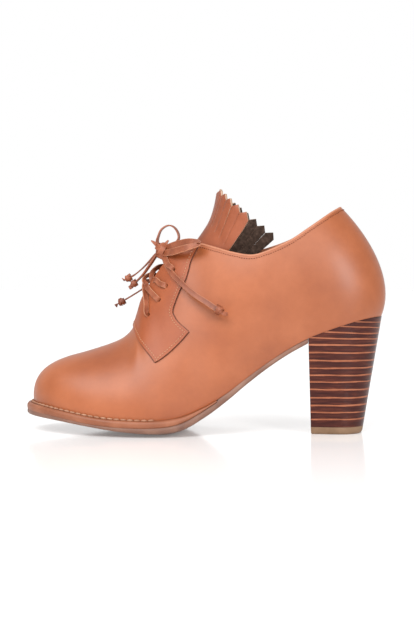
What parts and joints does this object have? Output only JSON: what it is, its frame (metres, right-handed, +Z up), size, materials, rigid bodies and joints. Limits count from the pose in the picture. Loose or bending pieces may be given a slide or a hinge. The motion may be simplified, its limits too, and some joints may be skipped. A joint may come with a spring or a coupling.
{
  "type": "heeled oxford shoe",
  "caption": "Women's leather lace-up shoe with a high stacked block heel, low welted sole, side facings with punched lace holes and a fringed tongue; left shoe.",
  "frame": {"origin": "centre of the heel's ground face", "axes": "+Z up; the toe points to -X; the outer side of the left foot is -Y"},
  "size_m": [0.2381, 0.088, 0.1589],
  "materials": {
    "tan_leather": "smooth semi-gloss tan leather",
    "sole_leather": "burnished sole leather",
    "heel_leather": "dark stained stacked leather with pale seams",
    "heel_rubber": "matt",
    "insole_leather": "matt",
    "lace_leather": "matt thong leather"
  },
  "bodies": {
    "root": {"upper": "tan_leather", "facing": "tan_leather", "tongue": "tan_leather", "welt": "sole_leather", "outsole": "sole_leather", "stacked_heel": "heel_leather", "top_lift": "heel_rubber", "insole": "insole_leather", "lace_cross_1": "lace_leather", "lace_cross_2": "lace_leather", "lace_cross_3": "lace_leather", "lace_top_strip": "lace_leather", "lace_knot": "lace_leather", "lace_loop_outer": "lace_leather", "lace_loop_inner": "lace_leather", "lace_end_outer": "lace_leather", "lace_end_front_1": "lace_leather", "lace_end_front_2": "lace_leather", "lace_end_front_3": "lace_leather", "lace_bead_outer": "lace_leather", "lace_bead_front_1": "lace_leather", "lace_bead_front_2": "lace_leather", "lace_bead_front_3": "lace_leather"}
  },
  "joints": []
}
